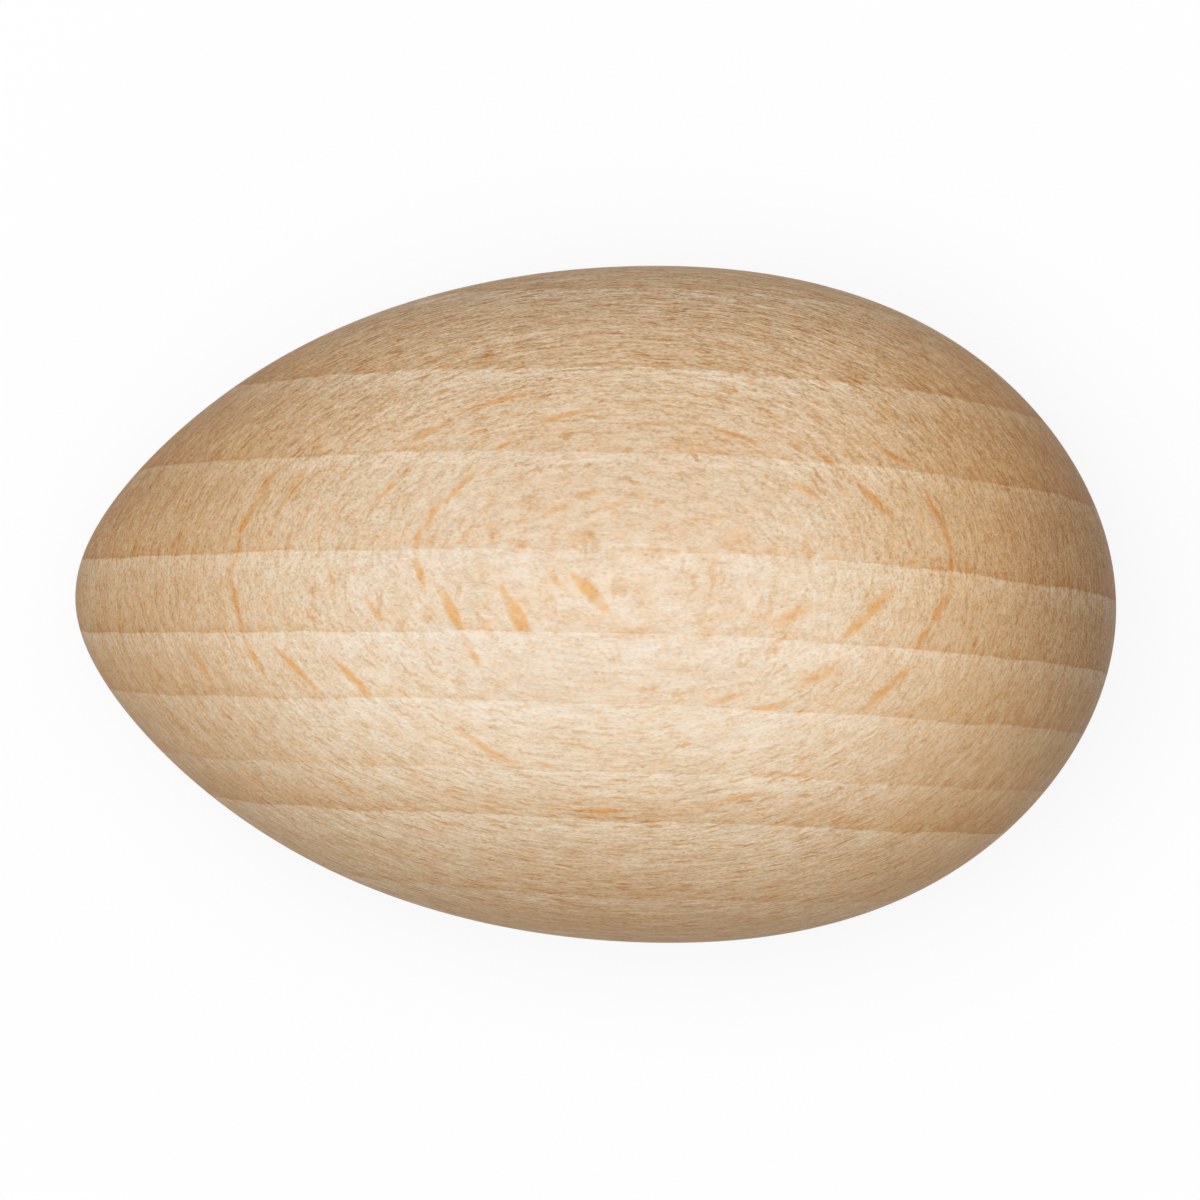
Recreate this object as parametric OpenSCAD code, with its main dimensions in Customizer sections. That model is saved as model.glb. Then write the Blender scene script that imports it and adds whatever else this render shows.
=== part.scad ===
// Wooden egg, turned from one piece of beech.
// Millimetres, Z up. It lies on its side as it comes to rest: the pointed end, at -X, dips a little
// and the blunt end is at +X. The origin is under the middle of its length. It touches z = 0 under
// its balance point, a little nearer to the blunt end.

/* [Size] */
// Length from the pointed end to the blunt end
egg_length = 61.6; // [45:0.1:90]
// Diameter at the widest place
egg_diameter = 40; // [30:0.1:60]

/* [Outline] */
// Taper: thins the pointed half and thickens the blunt half
taper = 0.12; // [0:0.01:0.2]
// Shoulders: how full both halves are, between the middle and the ends
shoulders = 0.04; // [0:0.01:0.1]
// End taper: as the taper, but felt close to the two ends
end_taper = 0.06; // [0:0.01:0.12]
// Draw: how much both ends draw in to a rounder point
end_draw = 0.15; // [0:0.01:0.25]
// Straight steps from one end of the outline to the other
outline_steps = 120; // [60:10:240]

/* [Hidden] */
beech_colour = "#e4c9a8";
turning_facets = 180;

// The outline is a half ellipse that swells towards one end. A point on it is given by an angle,
// from 0 at the pointed end to 180 at the blunt end.
angles = [for (i = [0 : outline_steps]) 180 * i / outline_steps];

// Thickness at an angle, as a share that the widest place sets to scale. h runs from -1 to 1.
function swelling(angle) =
    let (h = -cos(angle))
    sin(angle) * (1 + taper * h + shoulders * h^2 + end_taper * h^3 - end_draw * h^4);

widest = max([for (angle = angles) swelling(angle)]);

// Distance from the pointed end, along the axis
function station(angle) = egg_length * (1 - cos(angle)) / 2;

// Radius of the egg there
function radius(angle) = egg_diameter / 2 * swelling(angle) / widest;

outline = [for (angle = angles) [radius(angle), station(angle)]];

// Balance point on the axis: each thin slice weighs its radius squared times its thickness
slice_weights = [for (angle = angles) radius(angle)^2 * sin(angle)];
slice_stations = [for (angle = angles) station(angle)];
ones = [for (angle = angles) 1];
balance = (slice_weights * slice_stations) / (slice_weights * ones);

// Distance from the balance point to the surface
function reach(angle) = norm([radius(angle), station(angle) - balance]);

// An egg comes to rest on the side point that is nearest to its balance point. The search halves
// the stretch between two angles until the reach neither falls nor grows there.
probe = 0.01;
function resting_angle(from = 45, to = 135) =
    let (middle = (from + to) / 2)
    to - from < probe ? middle
    : reach(middle + probe) > reach(middle - probe) ? resting_angle(from, middle)
    : resting_angle(middle, to);

contact = resting_angle();
dip = atan2(balance - station(contact), radius(contact));

// How far the tilted egg reaches along X and down along Z
turned_x = [for (p = outline, side = [-1, 1]) p.y * cos(dip) + side * p.x * sin(dip)];
turned_low = [for (p = outline) p.y * sin(dip) - p.x * cos(dip)];
middle_x = (min(turned_x) + max(turned_x)) / 2;
low_z = min(turned_low);

module egg() {
    color(beech_colour)
        translate([-middle_x, 0, -low_z])
            rotate([0, 90 - dip, 0])
                rotate_extrude($fn = turning_facets)
                    polygon(outline);
}

egg();
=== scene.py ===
# %% [markdown]
# # A turned wooden egg
#
# The object is an egg turned on a lathe from one block of beech, sanded smooth and left without
# paint or varnish. It has no other pieces. Everything that makes it look real is in three things:
# a true outline, the figure of the wood, which runs through the block and is cut open by the round
# surface, and a soft light that lets the figure show.
#
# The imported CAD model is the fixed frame. It is loaded first, and nothing in it is moved.

# %% Load the frame
import math

import bmesh
import bpy
from mathutils import Euler, Matrix, Vector, noise


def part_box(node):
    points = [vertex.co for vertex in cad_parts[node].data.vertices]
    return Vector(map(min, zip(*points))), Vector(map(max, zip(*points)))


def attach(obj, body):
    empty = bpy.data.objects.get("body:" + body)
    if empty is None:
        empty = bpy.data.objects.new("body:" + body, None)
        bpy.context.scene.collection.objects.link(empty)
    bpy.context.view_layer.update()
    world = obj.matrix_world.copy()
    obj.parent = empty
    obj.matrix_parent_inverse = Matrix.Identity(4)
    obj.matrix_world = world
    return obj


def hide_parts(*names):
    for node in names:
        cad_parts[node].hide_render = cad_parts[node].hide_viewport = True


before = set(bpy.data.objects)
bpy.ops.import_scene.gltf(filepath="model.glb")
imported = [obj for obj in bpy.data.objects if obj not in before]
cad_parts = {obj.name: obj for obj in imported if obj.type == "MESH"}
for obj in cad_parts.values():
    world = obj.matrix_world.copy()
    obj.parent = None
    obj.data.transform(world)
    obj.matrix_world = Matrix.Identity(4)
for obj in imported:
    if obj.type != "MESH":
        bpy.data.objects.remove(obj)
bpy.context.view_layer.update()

egg_low, egg_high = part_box("egg")
MM = 0.001
print("CAD egg, mm:", [round(side / MM, 2) for side in egg_high - egg_low])

# %% [markdown]
# ## The shape
#
# A turner checks an egg against a template, so the outline is one smooth curve. The curve here is
# the one that the CAD source uses: a half ellipse that swells towards the blunt end. On a unit
# sphere, let h be how far a point is towards the blunt end, from -1 to 1. Then the egg is the same
# sphere with its length stretched, and with each ring of points drawn in or out by a polynomial
# in h. That makes the egg a simple stretching of a sphere.

# %% The outline
EGG_LENGTH = 61.6 * MM
TAPER, SHOULDERS, END_TAPER, END_DRAW = 0.12, 0.04, 0.06, 0.15
egg_diameter = egg_high.y - egg_low.y


def swelling(h):
    """How far the ring of points at h is drawn in or out."""
    return 1 + TAPER * h + SHOULDERS * h**2 + END_TAPER * h**3 - END_DRAW * h**4


SAMPLES = 2000
heights = [2 * i / SAMPLES - 1 for i in range(SAMPLES + 1)]
widest = max(swelling(h) * math.sqrt(1 - h * h) for h in heights)


def radius_at(h):
    """Radius of the egg at h, with h kept inside the egg."""
    h = max(-1, min(1, h))
    return egg_diameter / 2 * swelling(h) * math.sqrt(1 - h * h) / widest


def on_egg(direction):
    """The point of the upright-axis egg that a direction of the unit sphere becomes."""
    width = egg_diameter / 2 * swelling(direction.x) / widest
    return Vector((EGG_LENGTH / 2 * direction.x, width * direction.y, width * direction.z))


print("Widest place, share of the length from the pointed end:",
      round((1 + max(heights, key=radius_at)) / 2, 3))

# %% [markdown]
# An egg on a table rolls until the side point that is nearest to its centre of mass is at the
# bottom. That dips the pointed end by about four degrees. The dip is worked out here from the same
# outline, so the mesh lies exactly where the CAD egg lies.

# %% How it lies
weights = [radius_at(h) ** 2 for h in heights]
balance = sum(w * h for w, h in zip(weights, heights)) / sum(weights) * EGG_LENGTH / 2
contact_h = min(heights, key=lambda h: math.hypot(radius_at(h), h * EGG_LENGTH / 2 - balance))
dip = math.atan2(balance - contact_h * EGG_LENGTH / 2, radius_at(contact_h))
tilt = Matrix.Rotation(-dip, 3, "Y")

rim = []
for h in heights:
    for side in (-1, 1):
        rim.append(tilt @ Vector((h * EGG_LENGTH / 2, 0, side * radius_at(h))))
middle_x = (min(p.x for p in rim) + max(p.x for p in rim)) / 2
low_z = min(p.z for p in rim)
egg_middle = Vector((-middle_x, 0, -low_z))
print("Dip of the pointed end, degrees:", round(math.degrees(dip), 2))
print("Middle of the axis, mm:", [round(c / MM, 2) for c in egg_middle])

# %% [markdown]
# The mesh could be a ring-by-ring lathe shape, but that crowds its faces into two poles, where
# light catches them. Here it is a rounded cube: six square patches of even faces, pushed out to the
# sphere and then to the egg. No face is long or pinched anywhere, and each patch later takes one
# flat part of the finish's map.
#
# Hand sanding leaves a turned egg very slightly uneven. The surface is moved inwards by a few
# hundredths of a millimetre in slow waves, which only shows as life in the reflections.

# %% The egg's mesh
PATCH_FACES = 100
SANDING_DEPTH = 0.04 * MM
SANDING_WAVE = 11 * MM


def cube_direction(corner):
    """Turns a whole-numbered point on the cube into a unit direction, evenly spaced."""
    steps = [math.tan((2 * c / PATCH_FACES - 1) * math.pi / 4) for c in corner]
    return Vector(steps).normalized()


def sanded(point, outward):
    """The point after sanding, which only takes wood away."""
    wave = 0.5 + 0.5 * noise.noise(point / SANDING_WAVE)
    return point - outward * SANDING_DEPTH * wave


corners = {}
points = []
faces = []
patch_places = []


def corner_index(corner):
    """The number of the mesh point at a cube corner, made when it is first met."""
    if corner not in corners:
        direction = cube_direction(corner)
        place = tilt @ on_egg(direction)
        corners[corner] = len(points)
        points.append(sanded(place + egg_middle, place.normalized()))
    return corners[corner]


def add_patch(axis, side):
    """One of the six patches: all cube squares on one side of one axis."""
    across, up = (other for other in range(3) if other != axis)
    for i in range(PATCH_FACES):
        for j in range(PATCH_FACES):
            square = []
            for di, dj in ((0, 0), (1, 0), (1, 1), (0, 1)):
                corner = [0, 0, 0]
                corner[axis] = side * PATCH_FACES
                corner[across] = i + di
                corner[up] = j + dj
                square.append((corner_index(tuple(corner)), (i + di, j + dj)))
            faces.append([number for number, place in square])
            patch_places.append((axis, side, [place for number, place in square]))


for axis in range(3):
    for side in (0, 1):
        add_patch(axis, side)

egg_mesh = bpy.data.meshes.new("egg_surface")
egg_mesh.from_pydata(points, [], faces)
print("Egg mesh:", len(points), "points,", len(faces), "faces")

# %% [markdown]
# The finish is a solid texture and needs no map of its own. A map is still laid out, so that the
# finish can be stored with the model elsewhere. Each of the six patches takes one square of it,
# three across and two up, so no part of the egg gets a coarser finish than another.

# %% The map
MAP_COLUMNS, MAP_ROWS, MAP_GAP = 3, 2, 0.008
bake_map = egg_mesh.uv_layers.new(name="OFBake")
for polygon, (axis, side, places) in zip(egg_mesh.polygons, patch_places):
    for loop_index, (i, j) in zip(polygon.loop_indices, places):
        u, v = (i, j) if axis == 0 else (j, i)
        u = (axis + MAP_GAP + u / PATCH_FACES * (1 - 2 * MAP_GAP)) / MAP_COLUMNS
        v = (side + MAP_GAP + v / PATCH_FACES * (1 - 2 * MAP_GAP)) / MAP_ROWS
        bake_map.data[loop_index].uv = (u, v)
print("Map:", MAP_COLUMNS * MAP_ROWS, "squares")

# %% [markdown]
# The patches were made in whatever order of corners came easiest, so some faces look inwards. They
# are all turned outwards together. Then the mesh becomes an object that rides on the part's one
# body and stands for the CAD egg, which stays in place for collisions.

# %% The egg as a piece


def add_object(name, data):
    """A new object in the scene, of that name and with that mesh, lamp or camera."""
    thing = bpy.data.objects.new(name, data)
    bpy.context.scene.collection.objects.link(thing)
    return thing


shell = bmesh.new()
shell.from_mesh(egg_mesh)
bmesh.ops.recalc_face_normals(shell, faces=shell.faces)
shell.to_mesh(egg_mesh)
shell.free()
egg_mesh.shade_smooth()

egg = add_object("turned_egg", egg_mesh)
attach(egg, "root")
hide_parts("egg")
made_low = Vector(min(p[k] for p in points) for k in range(3))
made_high = Vector(max(p[k] for p in points) for k in range(3))
print("Made egg, mm:", [round(c / MM, 3) for c in made_high - made_low])

# %% [markdown]
# ## The wood
#
# Three directions rule everything that shows in wood. The grain runs along the trunk, the rings
# follow one another outwards, and the rays, thin sheets of tan cells, run from the pith to the bark
# like spokes. In this egg the grain runs from end to end and the rings are stacked across it. The
# side that faces up was cut along the rays, which is why it shows flecks.
#
# The wood could be drawn as a flat picture, but a picture would slide over the round shape. A solid
# texture is used instead: each colour is worked out from the place in the block, and the surface
# cuts it open. Rings then become long ovals and rays become flecks by themselves, on every side.

# %% Helpers for node trees


def srgb(red, green, blue):
    """A colour given in the usual 0 to 255 steps, as the linear colour that shaders use."""
    linear = []
    for value in (red, green, blue):
        value /= 255
        linear.append(value / 12.92 if value <= 0.04045 else ((value + 0.055) / 1.055) ** 2.4)
    return (*linear, 1)


class Tree:
    """Adds nodes to one node tree. A socket or a plain value can be given for any input."""

    def __init__(self, nodes_of):
        self.tree = nodes_of

    def add(self, kind, inputs=(), **settings):
        node = self.tree.nodes.new(kind)
        for name, value in settings.items():
            setattr(node, name, value)
        for key, value in dict(inputs).items():
            self.feed(node.inputs[key], value)
        return node

    def feed(self, socket, value):
        if isinstance(value, bpy.types.NodeSocket):
            self.tree.links.new(value, socket)
        else:
            socket.default_value = value

    def math(self, operation, first, second=0.0, third=0.0, clamp=False):
        inputs = {0: first, 1: second, 2: third}
        node = self.add("ShaderNodeMath", inputs, operation=operation, use_clamp=clamp)
        return node.outputs[0]

    def vector(self, operation, first, second=(0, 0, 0), third=(0, 0, 0)):
        inputs = {0: first, 1: second, 2: third}
        node = self.add("ShaderNodeVectorMath", inputs, operation=operation)
        return node.outputs["Vector"]

    def dot(self, first, second):
        inputs = {0: first, 1: second}
        node = self.add("ShaderNodeVectorMath", inputs, operation="DOT_PRODUCT")
        return node.outputs["Value"]

    def ease(self, value, low, high, to_low=0.0, to_high=1.0):
        """A smooth change from to_low, where the value is low, to to_high, where it is high."""
        inputs = {"Value": value, 1: low, 2: high, 3: to_low, 4: to_high}
        node = self.add("ShaderNodeMapRange", inputs, interpolation_type="SMOOTHSTEP")
        return node.outputs[0]

    def grey(self, value):
        inputs = {"Red": value, "Green": value, "Blue": value}
        return self.add("ShaderNodeCombineColor", inputs).outputs["Color"]

    def noise(self, place, detail=2.0, roughness=0.5):
        inputs = {"Vector": place, "Scale": 1.0, "Detail": detail, "Roughness": roughness}
        return self.add("ShaderNodeTexNoise", inputs).outputs["Fac"]

    def in_cells(self, place, sides):
        """The place counted in cells that have the given three sides."""
        return self.vector("MULTIPLY", place, tuple(1 / side for side in sides))

    def nearest_point(self, place, sides):
        """How far off the nearest point is, with one random point to a cell of the given sides,
        and that point's three random numbers."""
        inputs = {"Vector": self.in_cells(place, sides), "Scale": 1.0}
        points = self.add("ShaderNodeTexVoronoi", inputs, feature="F1")
        numbers = self.add("ShaderNodeSeparateColor", {"Color": points.outputs["Color"]})
        return points.outputs["Distance"], numbers.outputs


def fresh_tree(owner):
    """The emptied node tree of a material or a world."""
    owner.use_nodes = True
    owner.node_tree.nodes.clear()
    return Tree(owner.node_tree)


def new_group(name, inputs, outputs):
    """A node group with named sockets. Returns it with its tree, its input node and its output."""
    group = bpy.data.node_groups.new(name, "ShaderNodeTree")
    for socket, kind in inputs.items():
        group.interface.new_socket(socket, in_out="INPUT", socket_type="NodeSocket" + kind)
    for socket, kind in outputs.items():
        group.interface.new_socket(socket, in_out="OUTPUT", socket_type="NodeSocket" + kind)
    tree = Tree(group)
    return group, tree, tree.add("NodeGroupInput"), tree.add("NodeGroupOutput")


print("Helpers ready")

# %% [markdown]
# ### Where a point lies in the wood
#
# The material starts with two measures of place, both in millimetres from the egg's middle. The
# block place keeps the directions of the part: x towards the blunt end, y across, z up. The grain
# place is turned to the wood's own directions: along the grain, outwards through the rings, and
# across the rays.

# %% Directions of the wood
GRAIN_RISE = math.radians(5.5)
GRAIN_DRIFT = math.radians(-1.5)
RAY_LEAN = math.radians(-6.5)
block_middle = Vector((0, 0, egg_diameter / 2))
wood_turn = Euler((RAY_LEAN, -GRAIN_RISE, GRAIN_DRIFT), "XYZ")
wood_axes = wood_turn.to_matrix()
grain_run = wood_axes @ Vector((1, 0, 0))
ring_run = wood_axes @ Vector((0, 1, 0))
ray_normal = wood_axes @ Vector((0, 0, 1))

beech = bpy.data.materials.new("beech")
beech_tree = fresh_tree(beech)
surface = beech_tree.add("ShaderNodeTexCoord")
from_middle = beech_tree.vector("SUBTRACT", surface.outputs["Object"], block_middle)
block_place = beech_tree.vector("DIVIDE", from_middle, (MM, MM, MM))
turned = beech_tree.add(
    "ShaderNodeVectorRotate",
    {"Vector": block_place, "Rotation": wood_turn},
    rotation_type="EULER_XYZ",
    invert=True,
)
grain_place = turned.outputs["Vector"]
print("Ray planes lean, unit vector:", [round(c, 3) for c in ray_normal])

# %% [markdown]
# ### The rings
#
# Each year's ring starts pale, with open spring wood, stays even through the summer and ends in a
# thin dense tan band. Then the next pale ring starts at once, so the edge is sharp on one side and
# soft on the other. The rings here are nearly flat sheets. A sheet is where one formula of place
# keeps one value: mostly y, with a slope along the egg, a slight sag, a lean and a fan.
#
# A wave texture would give rings of one width. Real ones differ, so each ring has its own starting
# height and strength, and the group finds, for any place, how long ago its ring started and how soon
# it ends.

# %% Ring heights and strengths
# Height in mm where each ring starts, counted down from the side that was nearest the pith, and
# how strongly the ring before that height ends in tan.
RINGS = [
    (23.5, 0.6), (17.7, 0.45), (12.4, 0.8), (7.7, 0.78), (2.5, 1.0), (-1.75, 0.88),
    (-5.35, 0.62), (-8.95, 0.36), (-11.6, 0.66), (-16.15, 0.3), (-20.5, 0.5), (-25.0, 0.5),
]
RING_SLOPE, RING_SAG, RING_LEAN, RING_TWIST, RING_FAN = 0.026, 0.00124, 0.013, 0.0008, 0.0057
RING_WOBBLE, WOBBLE_STEPS = 0.6, (0.09, 0.2, 0.2)
RING_FRAY, FRAY_STEPS = 0.22, (1.2, 3.0, 3.0)

ring_group, tree, start, end = new_group(
    "Growth Rings",
    {"Place": "Vector"},
    {"Since": "Float", "Until": "Float", "Strength": "Float", "Height": "Float"},
)
axes = tree.add("ShaderNodeSeparateXYZ", {"Vector": start.outputs["Place"]})
x, y, z = axes.outputs
height = tree.math("MULTIPLY_ADD", x, RING_SLOPE, y)
height = tree.math("MULTIPLY_ADD", tree.math("MULTIPLY", x, x), RING_SAG, height)
height = tree.math("MULTIPLY_ADD", z, -RING_LEAN, height)
height = tree.math("MULTIPLY_ADD", tree.math("MULTIPLY", x, z), -RING_TWIST, height)
height = tree.math("MULTIPLY_ADD", tree.math("MULTIPLY", y, z), -RING_FAN, height)
slow = tree.noise(tree.vector("MULTIPLY", start.outputs["Place"], WOBBLE_STEPS))
height = tree.math("MULTIPLY_ADD", tree.math("SUBTRACT", slow, 0.5), RING_WOBBLE, height)
fine = tree.noise(tree.vector("MULTIPLY", start.outputs["Place"], FRAY_STEPS))
height = tree.math("MULTIPLY_ADD", tree.math("SUBTRACT", fine, 0.5), RING_FRAY, height)

# Each ring line that lies above the place moves the ring's start, end and strength on by one.
top, bottom, strength = RINGS[0][0], RINGS[1][0], RINGS[1][1]
for before, line, after in zip(RINGS, RINGS[1:], RINGS[2:]):
    passed = tree.math("LESS_THAN", height, line[0])
    top = tree.math("MULTIPLY_ADD", passed, line[0] - before[0], top)
    bottom = tree.math("MULTIPLY_ADD", passed, after[0] - line[0], bottom)
    strength = tree.math("MULTIPLY_ADD", passed, after[1] - line[1], strength)
tree.feed(end.inputs["Since"], tree.math("SUBTRACT", top, height))
tree.feed(end.inputs["Until"], tree.math("SUBTRACT", height, bottom))
tree.feed(end.inputs["Strength"], strength)
tree.feed(end.inputs["Height"], height)
print("Rings:", len(RINGS) - 1, "across", RINGS[0][0] - RINGS[-1][0], "mm")

# %% [markdown]
# ### The broad rays
#
# Beech has broad rays: tan ribbons about a tenth of a millimetre thick, which stand along the grain
# and run outwards through the rings. Where the surface lies flat along them they show as leaf-shaped
# flecks, and where it cuts them steeply they become thin arcs and dashes. The flecks of the upper
# side are placed one by one, each as a slim lens between two points of the surface. An arc is a
# chain of such lenses.
#
# A lens is a stretched sphere: the place is moved, turned and scaled so that the distance from its
# middle is 1 at its rim. To save work, the place is turned only once for every fifteen degrees, and
# each lens uses the turn nearest to its own.

# %% Places on the upper side
EYE_HEIGHT = 0.9


def top_of_egg(x, y):
    """The point of the egg's upper side above x and y, given and returned in metres."""
    low, high = 0.0, egg_diameter
    untilt = tilt.transposed()
    for _ in range(30):  # each time, the stretch that the surface lies in is halved
        middle = (low + high) / 2
        local = untilt @ (Vector((x, y, middle + egg_diameter / 2)) - egg_middle)
        inside = math.hypot(local.y, local.z) < radius_at(local.x / (EGG_LENGTH / 2))
        low, high = (middle, high) if inside else (low, middle)
    return Vector((x, y, low + egg_diameter / 2))


def ruled_point(x, y):
    """The point of the upper side that an eye above the egg sees at x and y of a ruler that is
    held level with the egg's middle. The surface is nearer to the eye than the ruler is."""
    point = top_of_egg(x, y)
    for _ in range(3):
        nearer = (EYE_HEIGHT - point.z) / (EYE_HEIGHT - egg_diameter / 2)
        point = top_of_egg(x * nearer, y * nearer)
    return point


print("Top of the egg at its middle, mm:", round(top_of_egg(0, 0).z / MM, 2))

# %% Flecks of the upper side
# Where each fleck starts and ends by the ruler (x, y, x, y), its width, all in mm, and its strength.
FLECKS = [
    # round the middle of the figure
    (-9.2, 0.9, -7.8, -1.8, 0.65, 1.0), (-7.8, -1.9, -6.8, -3.8, 0.55, 0.75),
    (-5.6, 1.1, -4.7, -0.7, 0.50, 0.8), (-5.2, 0.3, -4.0, -1.8, 0.95, 1.0),
    (-4.0, -1.9, -3.6, -3.0, 0.60, 0.5),
    (-1.3, 1.7, 0.7, -0.4, 0.80, 1.0), (-3.2, 2.1, -1.3, 0.6, 0.50, 0.6),
    (0.9, 2.0, 2.2, 0.8, 0.50, 0.5), (0.9, -0.8, 1.4, -1.3, 0.50, 0.4),
    (3.5, 1.0, 4.2, 0.5, 0.70, 0.25), (4.3, -1.3, 5.2, -1.6, 0.60, 0.3),
    (-6.8, 8.0, -9.1, 5.8, 0.45, 0.65), (-8.9, 6.1, -10.3, 4.2, 0.45, 0.6),
    (-10.2, 4.4, -10.8, 2.8, 0.45, 0.7), (-10.8, 2.9, -10.0, 0.7, 0.55, 0.8),
    (-15.8, 2.3, -15.3, 0.2, 0.30, 0.5), (-13.6, 0.5, -12.5, -1.8, 0.40, 0.6),
    (-15.2, -3.6, -13.1, -5.8, 0.50, 0.8), (-18.9, -2.6, -16.2, -5.7, 0.40, 0.75),
    (-11.7, -5.0, -11.0, -5.5, 0.35, 0.4), (-10.8, 8.2, -13.3, 5.5, 0.35, 0.55),
    (-3.4, 7.7, -5.8, 6.1, 0.50, 0.35), (0.6, 6.9, -1.6, 6.0, 0.50, 0.6),
    (-1.5, 6.1, -3.4, 4.9, 0.50, 0.6), (-1.1, 4.9, -1.2, 2.2, 0.45, 0.4),
    (2.4, 6.6, 0.6, 5.6, 0.50, 0.6), (7.3, 4.8, 9.9, 2.9, 1.50, 0.4),
    (6.6, -5.8, 9.2, -5.1, 0.40, 0.55), (8.9, -6.3, 11.7, -5.7, 0.40, 0.6),
    (-0.5, -6.6, 0.9, -6.9, 0.30, 0.4), (-8.1, -7.8, -4.8, -9.3, 0.50, 0.65),
    # the arcs near the pointed end
    (-18.6, 8.1, -20.0, 6.1, 0.40, 0.7), (-19.9, 6.2, -21.2, 3.4, 0.45, 0.75),
    (-21.1, 3.6, -21.5, 1.0, 0.40, 0.75), (-21.5, 1.3, -20.9, -1.7, 0.40, 0.8),
    (-20.9, -1.7, -19.3, -5.1, 0.35, 0.7), (-16.9, 8.0, -18.8, 5.1, 0.35, 0.6),
    (-24.0, -2.4, -22.4, -5.5, 0.35, 0.6), (-24.3, 4.0, -24.6, 2.5, 0.35, 0.4),
    # the arcs near the blunt end
    (18.9, 7.3, 20.5, 5.2, 0.40, 0.7), (20.4, 5.4, 21.1, 3.1, 0.40, 0.7),
    (21.1, 3.4, 20.9, 1.0, 0.40, 0.75), (21.0, 1.3, 19.9, -1.0, 0.50, 0.75),
    (20.0, -0.8, 18.8, -2.6, 0.40, 0.7), (15.2, 7.6, 17.5, 5.3, 0.50, 0.75),
    (17.4, 5.4, 17.8, 2.8, 0.30, 0.35), (11.4, 7.4, 13.1, 6.4, 0.55, 0.6),
    (16.1, 9.9, 18.4, 8.3, 0.35, 0.75), (12.8, 9.0, 14.3, 8.3, 0.35, 0.7),
    (15.7, 12.4, 18.0, 11.0, 0.35, 0.5), (20.2, 10.9, 22.8, 7.8, 0.30, 0.35),
    (17.5, 1.4, 14.8, -2.1, 0.75, 0.75), (13.0, 0.2, 10.3, -1.3, 1.00, 0.6),
    (14.9, -3.1, 11.9, -4.9, 0.90, 0.56), (19.0, -3.0, 16.0, -6.1, 0.60, 0.65),
    (24.4, 5.7, 24.9, 2.0, 0.25, 0.4),
    # the dashes above and below, where the surface turns away
    (-8.3, 11.1, -3.5, 12.6, 0.35, 0.7), (-3.5, 10.6, -0.4, 11.5, 0.35, 0.7),
    (-0.7, 13.3, 2.0, 13.5, 0.30, 0.4), (1.7, 10.5, 6.5, 10.8, 0.35, 0.45),
    (6.9, 10.3, 9.1, 10.0, 0.30, 0.7), (-6.2, 8.8, -5.0, 9.5, 0.30, 0.6),
    (12.1, 12.2, 13.6, 12.0, 0.30, 0.5), (-11.3, 9.2, -8.4, 10.8, 0.35, 0.6),
    (-12.8, 11.6, -11.3, 12.4, 0.30, 0.4), (3.4, 9.3, 10.8, 8.8, 0.40, 0.4),
    (-3.3, -9.5, -1.4, -10.0, 0.30, 0.6), (-1.1, -12.2, 2.1, -12.3, 0.35, 0.8),
    (-7.4, -12.0, -5.3, -12.2, 0.30, 0.45), (7.3, -11.5, 10.5, -11.0, 0.35, 0.6),
    (10.4, -10.1, 13.1, -9.9, 0.30, 0.5), (-13.8, -9.1, -12.4, -9.9, 0.30, 0.45),
    (3.2, -13.6, 6.4, -13.5, 0.35, 0.4),
]
FLECK_DEPTH = 2.5
LENGTH_SHARE, WIDTH_SHARE = 0.72, 0.66
FULL_TAN = 0.9
TURN_STEP = 15

fleck_group, tree, start, end = new_group("Placed Flecks", {"Place": "Vector"}, {"Fleck": "Float"})
turned_places = {}


def turned_place(turn):
    """The place turned by a whole number of steps about the upright axis, made once."""
    if turn not in turned_places:
        inputs = {"Vector": start.outputs["Place"], "Angle": -math.radians(turn * TURN_STEP)}
        node = tree.add("ShaderNodeVectorRotate", inputs, rotation_type="Z_AXIS")
        turned_places[turn] = node.outputs["Vector"]
    return turned_places[turn]


strongest = 0.0
for x0, y0, x1, y1, width, strength in FLECKS:
    turn = round(math.degrees(math.atan2(y1 - y0, x1 - x0)) / TURN_STEP)
    surface_point = ruled_point((x0 + x1) / 2 * MM, (y0 + y1) / 2 * MM)
    unturned = Matrix.Rotation(-math.radians(turn * TURN_STEP), 3, "Z")
    middle = unturned @ (surface_point - block_middle) / MM
    length = math.hypot(x1 - x0, y1 - y0)
    half = Vector((length * LENGTH_SHARE, width * WIDTH_SHARE, FLECK_DEPTH))
    inverse = tuple(1 / side for side in half)
    shift = tuple(-offset / side for offset, side in zip(middle, half))
    scaled = tree.vector("MULTIPLY_ADD", turned_place(turn), inverse, shift)
    body = tree.math("MULTIPLY_ADD", tree.dot(scaled, scaled), -strength, strength)
    strongest = tree.math("MAXIMUM", body, strongest)
tree.feed(end.inputs["Fleck"], tree.ease(strongest, 0.0, FULL_TAN))
print("Placed flecks:", len(FLECKS), "in", len(turned_places), "turns")

# %% [markdown]
# Thousands of smaller rays can't be placed one by one, and the other sides of the egg need broad ones
# too. A cell pattern has one point at random in each cell. The distance from that point, measured
# in a space that is long outwards and thin across the rays, draws one thin plate for each cell.
# The surface then cuts the plates just as it does in wood.

# %% Scattered rays
# The sides in mm of the cells that hold one plate each, and a plate's size as a share of them.
SMALL_CELL, SMALL_SIZE = (1.8, 3.6, 0.17), 0.4
BROAD_CELL, BROAD_SIZE = (4.2, 10.0, 0.75), 0.26
PLATE_SOFTNESS = 0.5
RAY_BEND, BEND_STEPS = 0.5, (1.1, 0.8, 1.6)

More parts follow.
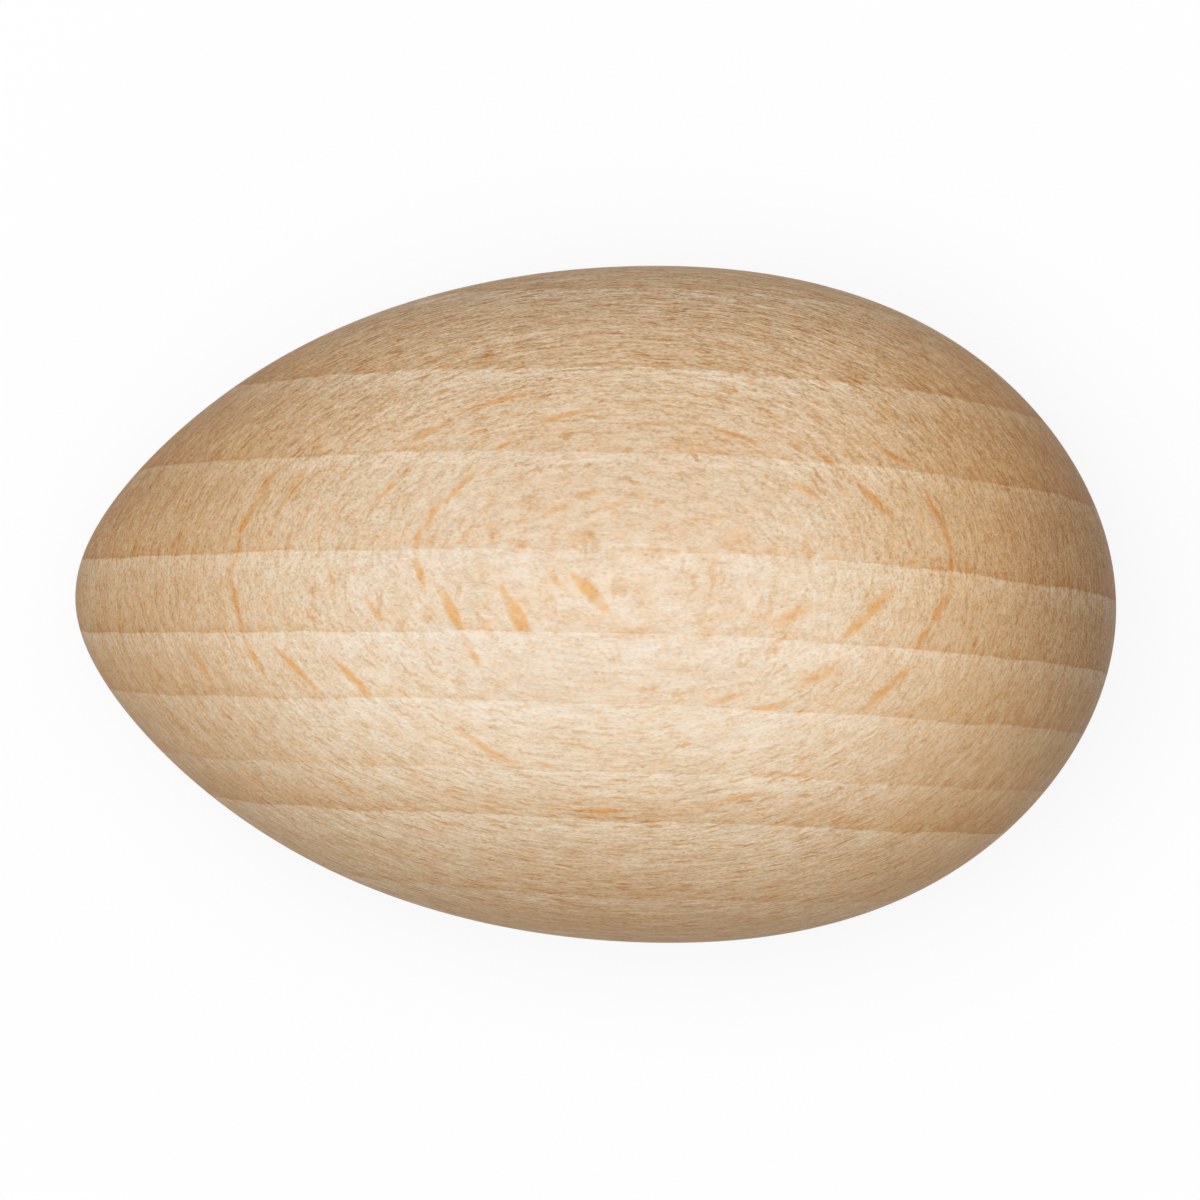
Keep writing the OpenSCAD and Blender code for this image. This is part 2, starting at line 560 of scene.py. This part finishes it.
scatter_group, tree, start, end = new_group(
    "Scattered Rays", {"Grain": "Vector"}, {"Small": "Float", "Broad": "Float"}
)
bend = tree.noise(tree.vector("MULTIPLY", start.outputs["Grain"], BEND_STEPS))
bend = tree.math("MULTIPLY_ADD", bend, RAY_BEND, -RAY_BEND / 2)
bent = tree.add("ShaderNodeCombineXYZ", {"Z": bend})
bent_place = tree.vector("ADD", start.outputs["Grain"], bent.outputs["Vector"])


def plates(cell, size):
    """Thin plates at random, one in each cell, each with its own strength."""
    distance, numbers = tree.nearest_point(bent_place, cell)
    body = tree.ease(distance, size * (1 - PLATE_SOFTNESS), size, 1.0, 0.0)
    return tree.math("MULTIPLY", body, numbers["Red"])


tree.feed(end.inputs["Small"], plates(SMALL_CELL, SMALL_SIZE))
tree.feed(end.inputs["Broad"], plates(BROAD_CELL, BROAD_SIZE))
print("Scattered rays: small and broad")

# %% [markdown]
# ### The fine cells
#
# Between the rays, beech is full of vessels too small to see one by one. Each shows as a dark dot
# where it is cut across and as a short dark line where it is cut along. Two layers of noise, drawn
# out along the grain and pressed flat across the rays, give the soft speckle. Dots from a cell
# pattern give the crisp vessels on top. The cells also stand in thin layers, a touch darker in one
# layer than in the next, so a third noise, long and very thin, joins the speckle and shows as fine
# streaks where the surface cuts across. A broader one makes the mottle, which is there everywhere.
#
# Some of the wood holds a little more of the warm stuff that colours the rays. It shifts the colour
# slowly from patch to patch, and gathers in small warm dots.

# %% Speckle of the cells
# Sizes of the noises' grains and of the dots' cells, in mm along the grain, outwards and across the
# rays. The dots' core and edge are shares of their cell.
RELIEF_GRAIN, MIDDLING_GRAIN, SHEET_GRAIN = (0.28, 0.13, 0.07), (1.5, 0.5, 0.12), (6.0, 2.6, 0.2)
MIDDLING_SHARE, SHEET_SHARE = 0.8, 0.35
DARKENING, MEAN_DARKENING = 0.25, 0.03
WARM_GRAIN, MOTTLE_GRAIN = (1.5, 0.9, 0.5), (4.0, 2.2, 0.6)
VESSEL_CELL, WARM_CELL = (0.5, 0.36, 0.17), (0.62, 0.52, 0.4)
DOT_CORE, VESSEL_EDGE, WARM_EDGE = 0.1, 0.36, 0.42
WARM_DOT_SHARE, NO_DOT_BELOW = 0.28, 0.3

cell_group, tree, start, end = new_group(
    "Fine Cells",
    {"Grain": "Vector"},
    {"Relief": "Float", "Cells": "Float", "Vessels": "Float", "Mottle": "Float", "Warmth": "Float"},
)


def cell_noise(sizes, detail, roughness=0.6):
    """Noise whose grains have the given three sizes in mm, from about -0.5 to 0.5."""
    stretched = tree.in_cells(start.outputs["Grain"], sizes)
    return tree.math("SUBTRACT", tree.noise(stretched, detail, roughness), 0.5)


relief = cell_noise(RELIEF_GRAIN, 1.0)
tree.feed(end.inputs["Relief"], relief)
speckle = tree.math("MULTIPLY_ADD", cell_noise(MIDDLING_GRAIN, 1.0), MIDDLING_SHARE, relief)
speckle = tree.math("MULTIPLY_ADD", cell_noise(SHEET_GRAIN, 1.0), SHEET_SHARE, speckle)
darker = tree.math("MULTIPLY_ADD", tree.math("ABSOLUTE", speckle), DARKENING, -MEAN_DARKENING)
tree.feed(end.inputs["Cells"], tree.math("ADD", speckle, darker))

distance, numbers = tree.nearest_point(start.outputs["Grain"], VESSEL_CELL)
dot = tree.ease(distance, DOT_CORE, VESSEL_EDGE, 1.0, 0.0)
tree.feed(end.inputs["Vessels"], tree.math("MULTIPLY", dot, numbers["Green"]))

distance, numbers = tree.nearest_point(start.outputs["Grain"], WARM_CELL)
dot = tree.ease(distance, DOT_CORE, WARM_EDGE, 1.0, 0.0)
dot = tree.math("MULTIPLY", dot, tree.ease(numbers["Blue"], NO_DOT_BELOW, 1.0))
warmth = tree.math("MULTIPLY_ADD", dot, WARM_DOT_SHARE, cell_noise(WARM_GRAIN, 2.0))
tree.feed(end.inputs["Warmth"], warmth)
tree.feed(end.inputs["Mottle"], cell_noise(MOTTLE_GRAIN, 2.0))
print("Fine cells: relief, cells, vessels, mottle and warmth")

# %% [markdown]
# ### The beech material
#
# All of beech's tans are the same tan seen through more or less wood: where light sinks deeper, it
# comes back darker and warmer. So one number, the depth, gathers what darkens the wood over a wide
# area, and one row of shades turns it into colour. Ends and edges across the grain soak up more
# light and are deeper, and each ring adds its band.
#
# Two things don't follow that rule. The tan of the rays is a clear orange with little darkness, so
# it is multiplied on. Part of the speckle is the shadow in open cells. It is hardly coloured, so it
# only darkens.

# %% Shades of beech, from little depth to much
SHADES = [
    (-0.5, srgb(240, 231, 217)), (0.0, srgb(230, 212, 188)), (0.5, srgb(220, 195, 163)),
    (1.0, srgb(209, 178, 140)), (1.5, srgb(200, 164, 121)), (2.0, srgb(190, 149, 103)),
    (3.0, srgb(173, 124, 75)),
]
DEPTH_LOW, DEPTH_HIGH = SHADES[0][0], SHADES[-1][0]
RAY_TAN = srgb(250, 209, 151)

tree = beech_tree
rings = tree.add("ShaderNodeGroup", {"Place": block_place}, node_tree=ring_group)
scatter = tree.add("ShaderNodeGroup", {"Grain": grain_place}, node_tree=scatter_group)
cells = tree.add("ShaderNodeGroup", {"Grain": grain_place}, node_tree=cell_group)
axes = tree.add("ShaderNodeSeparateXYZ", {"Vector": block_place})
print("Shades:", len(SHADES), "from depth", DEPTH_LOW, "to", DEPTH_HIGH)

# %% [markdown]
# The surface's own direction says how the wood is cut. Squared, its share along the grain or along
# the rings tells an end from a side and a side from the face. Object normals stay with the wood when
# the egg turns, so the look never slides.

# %% How the wood is cut
END_DEPTH = 1.15
SIDE_DEPTH = 1.0
END_BEGINS, END_FULL = 0.19, 0.81

facing = tree.dot(surface.outputs["Normal"], ray_normal)
ending = tree.dot(surface.outputs["Normal"], grain_run)
siding = tree.dot(surface.outputs["Normal"], ring_run)
cut_across = tree.math("MULTIPLY_ADD", tree.math("MULTIPLY", facing, -1.0), facing, 1.0, clamp=True)
end_soak = tree.ease(tree.math("ABSOLUTE", ending), END_BEGINS, END_FULL)
side_soak = tree.math("MULTIPLY", siding, siding)
print("Ends add", END_DEPTH, "and sides add", SIDE_DEPTH, "of depth")

# %% [markdown]
# A ring's tan rises softly from its start, climbs to its end and stops. Where the surface lies flat
# along the rays, the rings are faint, because little of each shows at once. Where it cuts across,
# they stand out.

# %% The bands of the rings
RING_DEPTH = 1.25
BAND_BODY, BAND_FADE, BAND_LINE, BAND_SEAM = 0.48, 0.36, 0.16, 0.5
RISE_LENGTH, FADE_LENGTH, LINE_LENGTH, SEAM_LENGTH = 1.8, 0.9, 0.18, 0.1
FACE_CONTRAST, CUT_CONTRAST, CONTRAST_CURVE = 0.12, 1.1, 0.6

rise = tree.ease(rings.outputs["Since"], 0.0, RISE_LENGTH, 0.0, BAND_BODY)
fade = tree.math("POWER", math.e, tree.math("DIVIDE", rings.outputs["Until"], -FADE_LENGTH))
line = tree.math("POWER", math.e, tree.math("DIVIDE", rings.outputs["Until"], -LINE_LENGTH))
seam = tree.ease(rings.outputs["Since"], 0.0, SEAM_LENGTH, BAND_SEAM, 0.0)
band = tree.math("MULTIPLY_ADD", fade, BAND_FADE, rise)
band = tree.math("MULTIPLY_ADD", line, BAND_LINE, band)
band = tree.math("ADD", seam, band)
band = tree.math("MULTIPLY", band, rings.outputs["Strength"])
contrast = tree.math("POWER", cut_across, CONTRAST_CURVE)
contrast = tree.math("MULTIPLY_ADD", contrast, CUT_CONTRAST, FACE_CONTRAST)
band = tree.math("MULTIPLY", band, contrast)
print("A ring's end adds up to", RING_DEPTH, "of depth")

# %% [markdown]
# The speckle is coarser where the surface cuts across the rays, and finer at the ends and in the
# wood that grew last, so one measure of coarseness scales all of it. The smallest rays fade towards
# the ends, where the surface cuts them at their thinnest.

# %% How coarse the speckle is
LAST_WOOD, FIRST_WOOD, LAST_COARSE = -8.0, 5.0, 0.56
FACE_COARSE, CUT_COARSE = 0.35, 1.25
MOST_COARSE = 1.3
END_LOSS, END_RAY_LOSS = 0.25, 0.5

coarse = tree.ease(rings.outputs["Height"], LAST_WOOD, FIRST_WOOD, LAST_COARSE, 1.0)
cut = tree.math("MULTIPLY_ADD", cut_across, CUT_COARSE, FACE_COARSE)
coarse = tree.math("MULTIPLY", coarse, cut)
coarse = tree.math("MULTIPLY", coarse, tree.math("MULTIPLY_ADD", end_soak, -END_LOSS, 1.0))
coarse = tree.math("MINIMUM", coarse, MOST_COARSE)
small_rays = tree.math("MULTIPLY_ADD", end_soak, -END_RAY_LOSS, 1.0)
small_rays = tree.math("MULTIPLY", scatter.outputs["Small"], small_rays)
print("Coarseness up to", MOST_COARSE)

# %% [markdown]
# Now the depth can be added up and turned into a shade. Besides what the cut, the rings and the fine
# cells add, the wood changes slowly from the side that was nearest the pith to the other.

# %% Depth and shade
BASE_DEPTH = -0.25
# Two heights in mm that a change runs between, and the depth that it adds at each.
SLOW_CHANGES = [(-2.0, 8.0, 0.0, 0.38), (9.0, 16.0, 0.0, -0.2), (-19.0, -11.0, 0.35, 0.0)]
LENGTH_DEPTH = 0.005
CELL_DEPTH = 2.2
VESSEL_DEPTH = 1.4
SMALL_RAY_DEPTH = 1.3
MOTTLE_DEPTH, FACE_MOTTLE, CUT_MOTTLE = 0.9, 0.45, 0.9

depth = tree.math("MULTIPLY_ADD", end_soak, END_DEPTH, BASE_DEPTH)
depth = tree.math("MULTIPLY_ADD", side_soak, SIDE_DEPTH, depth)
depth = tree.math("MULTIPLY_ADD", band, RING_DEPTH, depth)
depth = tree.math("MULTIPLY_ADD", axes.outputs["X"], LENGTH_DEPTH, depth)
for change in SLOW_CHANGES:
    depth = tree.math("ADD", tree.ease(rings.outputs["Height"], *change), depth)
fine_depth = tree.math("MULTIPLY", cells.outputs["Cells"], CELL_DEPTH)
fine_depth = tree.math("MULTIPLY_ADD", cells.outputs["Vessels"], VESSEL_DEPTH, fine_depth)
fine_depth = tree.math("MULTIPLY_ADD", small_rays, SMALL_RAY_DEPTH, fine_depth)
depth = tree.math("MULTIPLY_ADD", fine_depth, coarse, depth)
mottle = tree.math("MULTIPLY_ADD", cut_across, CUT_MOTTLE, FACE_MOTTLE)
mottle = tree.math("MULTIPLY", cells.outputs["Mottle"], mottle)
depth = tree.math("MULTIPLY_ADD", mottle, MOTTLE_DEPTH, depth)

# A new colour ramp has two stops. One always stays, so it becomes the first shade.
shade = tree.add("ShaderNodeValToRGB")
elements = shade.color_ramp.elements
while len(elements) > 1:
    elements.remove(elements[-1])
for number, (at, colour) in enumerate(SHADES):
    position = (at - DEPTH_LOW) / (DEPTH_HIGH - DEPTH_LOW)
    stop = elements[0] if number == 0 else elements.new(position)
    stop.position = position
    stop.color = colour
scaled = tree.math("SUBTRACT", depth, DEPTH_LOW)
tree.feed(shade.inputs["Fac"], tree.math("DIVIDE", scaled, DEPTH_HIGH - DEPTH_LOW))
print("Shade stops:", len(elements))

# %% [markdown]
# The rays come next: the placed flecks, the scattered broad rays and the warm patches, whichever is
# strongest. A little fraying of the place keeps the flecks from looking ruled, and the warmth of the
# wood makes each stronger in one spot and weaker in the next. A ring's pale start washes them out,
# and its end deepens them. The smallest rays add a short dash of the same tan.

# %% Tan of the rays
FRAY, FRAY_SCALE = 0.3, 1.2
FLECK_TAN, SPOT_TAN = 0.92, 1.7
BROAD_ABOVE, UPPER_BROAD = 8.0, 0.25
FRESH_LENGTH, FRESH_TAN, OLD_TAN, LAST_TAN = 1.6, 0.5, 0.95, 0.3
FACE_TAN, CUT_TAN, FACE_LIMIT, RING_END_TAN = 0.16, 0.05, 0.12, 0.14
WARM_SHARE, PATCHES, END_PATCHES = 1.1, 0.8, 0.9
SMALL_RAY_TAN, FACE_DASHES, CUT_DASHES = 0.4, 0.35, 0.9

fray = tree.add("ShaderNodeTexNoise", {"Vector": block_place, "Scale": FRAY_SCALE, "Detail": 2.0})
frayed = tree.vector("MULTIPLY_ADD", fray.outputs["Color"], (FRAY, FRAY, 0), (-FRAY / 2, -FRAY / 2, 0))
fleck_place = tree.vector("ADD", frayed, block_place)
flecks = tree.add("ShaderNodeGroup", {"Place": fleck_place}, node_tree=fleck_group)
uneven = tree.math("MULTIPLY_ADD", cells.outputs["Warmth"], SPOT_TAN, FLECK_TAN)
fleck = tree.math("MULTIPLY", flecks.outputs["Fleck"], uneven)
broad = tree.ease(axes.outputs["Z"], 0.0, BROAD_ABOVE, 1.0, UPPER_BROAD)
broad = tree.math("MULTIPLY", scatter.outputs["Broad"], broad)
ray = tree.math("MAXIMUM", fleck, broad)
fresh = tree.ease(rings.outputs["Since"], 0.0, FRESH_LENGTH, FRESH_TAN, OLD_TAN)
fresh = tree.math("MULTIPLY_ADD", fade, LAST_TAN, fresh)
ray = tree.math("MULTIPLY", ray, fresh, clamp=True)

ring_end = tree.math("MULTIPLY", fade, rings.outputs["Strength"])
patches = tree.math("MULTIPLY_ADD", ring_end, END_PATCHES, PATCHES)
patches = tree.math("MULTIPLY", cells.outputs["Warmth"], patches)
dashes = tree.math("MULTIPLY_ADD", cut_across, CUT_DASHES, FACE_DASHES)
dashes = tree.math("MULTIPLY", small_rays, dashes)
warm = tree.ease(cut_across, 0.0, FACE_LIMIT, FACE_TAN, CUT_TAN)
warm = tree.math("MULTIPLY_ADD", patches, WARM_SHARE, warm)
warm = tree.math("MULTIPLY_ADD", ring_end, RING_END_TAN, warm)
warm = tree.math("MULTIPLY_ADD", dashes, SMALL_RAY_TAN, warm)
stain = tree.math("MAXIMUM", ray, warm, clamp=True)
# A Mix node has its colours at inputs 6 and 7 and gives the mixed one at output 2.
tinted = tree.add("ShaderNodeMix", data_type="RGBA", blend_type="MULTIPLY")
tree.feed(tinted.inputs["Factor"], stain)
tree.feed(tinted.inputs[6], shade.outputs["Color"])
tree.feed(tinted.inputs[7], RAY_TAN)
print("Rays tint by", [round(c, 2) for c in RAY_TAN[:3]])

# %% [markdown]
# Last come the shadows of the cells. They take a little more from green and blue than from red,
# since what light leaves a vessel has passed through its brown walls. The rays have no vessels, so
# their tan stays clear. Two painted shades join them. The blunt end, where it faces along the grain,
# is darkened as painted shade for the light falling off at that edge, though end grain is also a
# little darker. The upper face, which lies along the rays, is darkened a little as painted shade
# where the softbox overhead lights it most.
#
# The same masks also rule the gloss: sanded rays are the smoothest part of beech, and open vessels
# the roughest. The relief is very shallow, because sandpaper levels all but the softest cells.

# %% Vessels, gloss and relief
CELL_SHADE = 0.55
VESSEL_SHADE = 0.05
OPEN_LIGHT = 1.03
# Painted shade: BLUNT_SHADE darkens the blunt end and FACE_SHADE the upper face, for how the light
# falls there.
BLUNT_BEGINS, BLUNT_SHADE = 0.6, 0.32
FACE_SHADE, FACE_SHADE_LIMIT = 0.1, 0.3
RAY_CLEARS = 0.6
SHADE_TINT = (-0.87, -1.02, -1.12)
BARE_GLOSS, RAY_GLOSS, VESSEL_GLOSS, MOTTLE_GLOSS = 0.6, -0.08, 0.12, 0.1
RELIEF_STRENGTH, RELIEF_DEPTH = 0.35, 0.02 * MM
WOOD_IOR = 1.4

clear = tree.math("MULTIPLY_ADD", ray, -RAY_CLEARS, 1.0)
shadow = tree.math("MULTIPLY", cells.outputs["Cells"], CELL_SHADE)
shadow = tree.math("MULTIPLY_ADD", cells.outputs["Vessels"], VESSEL_SHADE, shadow)
shadow = tree.math("MULTIPLY", tree.math("MULTIPLY", shadow, coarse), clear)
# Painted shade at the blunt end, standing in for the light falling off there; partly end grain's own
# darkness.
painted_blunt_shade = tree.ease(ending, BLUNT_BEGINS, 1.0, OPEN_LIGHT, OPEN_LIGHT - BLUNT_SHADE)
# Painted shade on the upper face along the rays, where the softbox overhead lights it most.
painted_face_shade = tree.ease(cut_across, 0.0, FACE_SHADE_LIMIT, FACE_SHADE, 0.0)
shadow = tree.math("ADD", painted_face_shade, shadow)
light_left = tree.vector("MULTIPLY_ADD", tree.grey(shadow), SHADE_TINT, tree.grey(painted_blunt_shade))
finish = tree.vector("MULTIPLY", tinted.outputs[2], light_left)

gloss = tree.math("MULTIPLY_ADD", ray, RAY_GLOSS, BARE_GLOSS)
gloss = tree.math("MULTIPLY_ADD", cells.outputs["Vessels"], VESSEL_GLOSS, gloss)
gloss = tree.math("MULTIPLY_ADD", cells.outputs["Mottle"], MOTTLE_GLOSS, gloss)
dents = {"Strength": RELIEF_STRENGTH, "Distance": RELIEF_DEPTH, "Height": cells.outputs["Relief"]}
bump = tree.add("ShaderNodeBump", dents)
skin = {"Base Color": finish, "Roughness": gloss, "IOR": WOOD_IOR, "Normal": bump.outputs["Normal"]}
shader = tree.add("ShaderNodeBsdfPrincipled", skin)
tree.add("ShaderNodeOutputMaterial", {"Surface": shader.outputs["BSDF"]})
egg_mesh.materials.append(beech)
print("Beech nodes:", len(beech.node_tree.nodes))

# %% [markdown]
# ## The floor and the light
#
# The egg lies on a sheet of white paper in soft studio light. White paper would throw a lot of
# light back up and wipe out the dark edge that rounds the egg, and it would still come out grey
# beside a well lit egg. So the paper has two natures. To the eye, and in reflections, it is nearly
# as bright as its own light, and it still takes the egg's soft shadow. To the light that bounces
# around, it is a darker sheet.

# %% Floor
FLOOR_HALF = 3.0
FLOOR_ALBEDO = 0.12
SEEN_ALBEDO = 0.9
OWN_LIGHT = 0.86

floor_corners = [(-FLOOR_HALF, -FLOOR_HALF, 0), (FLOOR_HALF, -FLOOR_HALF, 0)]
floor_corners += [(FLOOR_HALF, FLOOR_HALF, 0), (-FLOOR_HALF, FLOOR_HALF, 0)]
floor_mesh = bpy.data.meshes.new("floor")
floor_mesh.from_pydata(floor_corners, [], [(0, 1, 2, 3)])
floor = add_object("floor", floor_mesh)


def seen_directly(tree):
    """1 for the rays that the eye sees, straight or by reflection, and 0 for bounced light."""
    kinds = tree.add("ShaderNodeLightPath")
    seen = tree.math("MAXIMUM", kinds.outputs["Is Camera Ray"], kinds.outputs["Is Glossy Ray"])
    return tree.math("MAXIMUM", seen, kinds.outputs["Is Transmission Ray"])


paper = bpy.data.materials.new("white_paper")
tree = fresh_tree(paper)
seen = seen_directly(tree)
white = tree.add("ShaderNodeEmission", {"Color": (1, 1, 1, 1), "Strength": 1.0})
bare = tree.math("MULTIPLY_ADD", seen, SEEN_ALBEDO - FLOOR_ALBEDO, FLOOR_ALBEDO)
matte = tree.add("ShaderNodeBsdfDiffuse", {"Color": tree.grey(bare)})
share = tree.math("MULTIPLY", seen, OWN_LIGHT)
both = tree.add("ShaderNodeMixShader", {0: share, 1: matte.outputs[0], 2: white.outputs[0]})
tree.add("ShaderNodeOutputMaterial", {"Surface": both.outputs[0]})
floor_mesh.materials.append(paper)
print("Floor:", 2 * FLOOR_HALF, "m square, at z = 0")

# %% [markdown]
# The room behind the paper is white too. It lights the egg evenly from all round at about a third
# of its own brightness, as the walls of a studio do.

# %% World
AMBIENT = 0.35

world = bpy.data.worlds.new("studio")
bpy.context.scene.world = world
tree = fresh_tree(world)
strength = tree.math("MULTIPLY_ADD", seen_directly(tree), 1 - AMBIENT, AMBIENT)
backdrop = tree.add("ShaderNodeBackground", {"Color": (1, 1, 1, 1), "Strength": strength})
tree.add("ShaderNodeOutputWorld", {"Surface": backdrop.outputs[0]})
print("World:", AMBIENT, "of white as light on the egg")

# %% [markdown]
# One large softbox hangs over the egg, slightly towards its pointed end. It gives the bright middle
# and the even fall of light to the edges. Four weak panels stand low around it and lift the sides.
# The one at the blunt end is the strongest, because that end turns away most steeply.

# %% Lamps
# Name, direction from the egg, and power in watts.
LAMPS = [
    ("overhead_softbox", (-0.1, 0.02, 1.0), 12.0),
    ("right_fill", (0.95, 0.2, 0.3), 1.8),
    ("left_fill", (-0.95, 0.0, 0.3), 1.0),
    ("back_fill", (0.0, 0.95, 0.3), 1.1),
    ("front_fill", (0.0, -0.95, 0.3), 1.4),
]
LAMP_DISTANCE = 1.3
LAMP_SIDE = 0.7

for name, direction, power in LAMPS:
    lamp = bpy.data.lights.new(name, "AREA")
    lamp.shape = "SQUARE"
    lamp.size = LAMP_SIDE
    lamp.energy = power
    holder = add_object(name, lamp)
    away = Vector(direction).normalized()
    holder.location = block_middle + away * LAMP_DISTANCE
    holder.rotation_euler = away.to_track_quat("Z", "Y").to_euler()
print("Lamps:", ", ".join(name for name, direction, power in LAMPS))

# %% [markdown]
# ## The camera
#
# The eye looks straight down on the egg from about an arm's length, with the egg's length across
# the frame. The lens is chosen so that the frame is as wide as it should be at the level of the
# egg's middle. The camera is turned by less than a degree and moved by a third of a millimetre,
# because the egg wasn't laid quite straight or quite in the middle.

# %% Camera
CAMERA_HEIGHT = EYE_HEIGHT
CAMERA_ACROSS, CAMERA_ALONG = 0.3 * MM, 0.2 * MM
FRAME_WIDTH = 70.83 * MM
SENSOR_WIDTH = 36.0
CAMERA_TURN = math.radians(0.88)

camera = bpy.data.cameras.new("camera")
camera.sensor_width = SENSOR_WIDTH
camera.lens = SENSOR_WIDTH * (CAMERA_HEIGHT - egg_diameter / 2) / FRAME_WIDTH
eye = add_object("camera", camera)
eye.location = (CAMERA_ACROSS, CAMERA_ALONG, CAMERA_HEIGHT)
eye.rotation_euler = (0, 0, CAMERA_TURN)
bpy.context.scene.camera = eye
bpy.context.scene.view_settings.view_transform = "Standard"
print("Lens, mm:", round(camera.lens, 1))
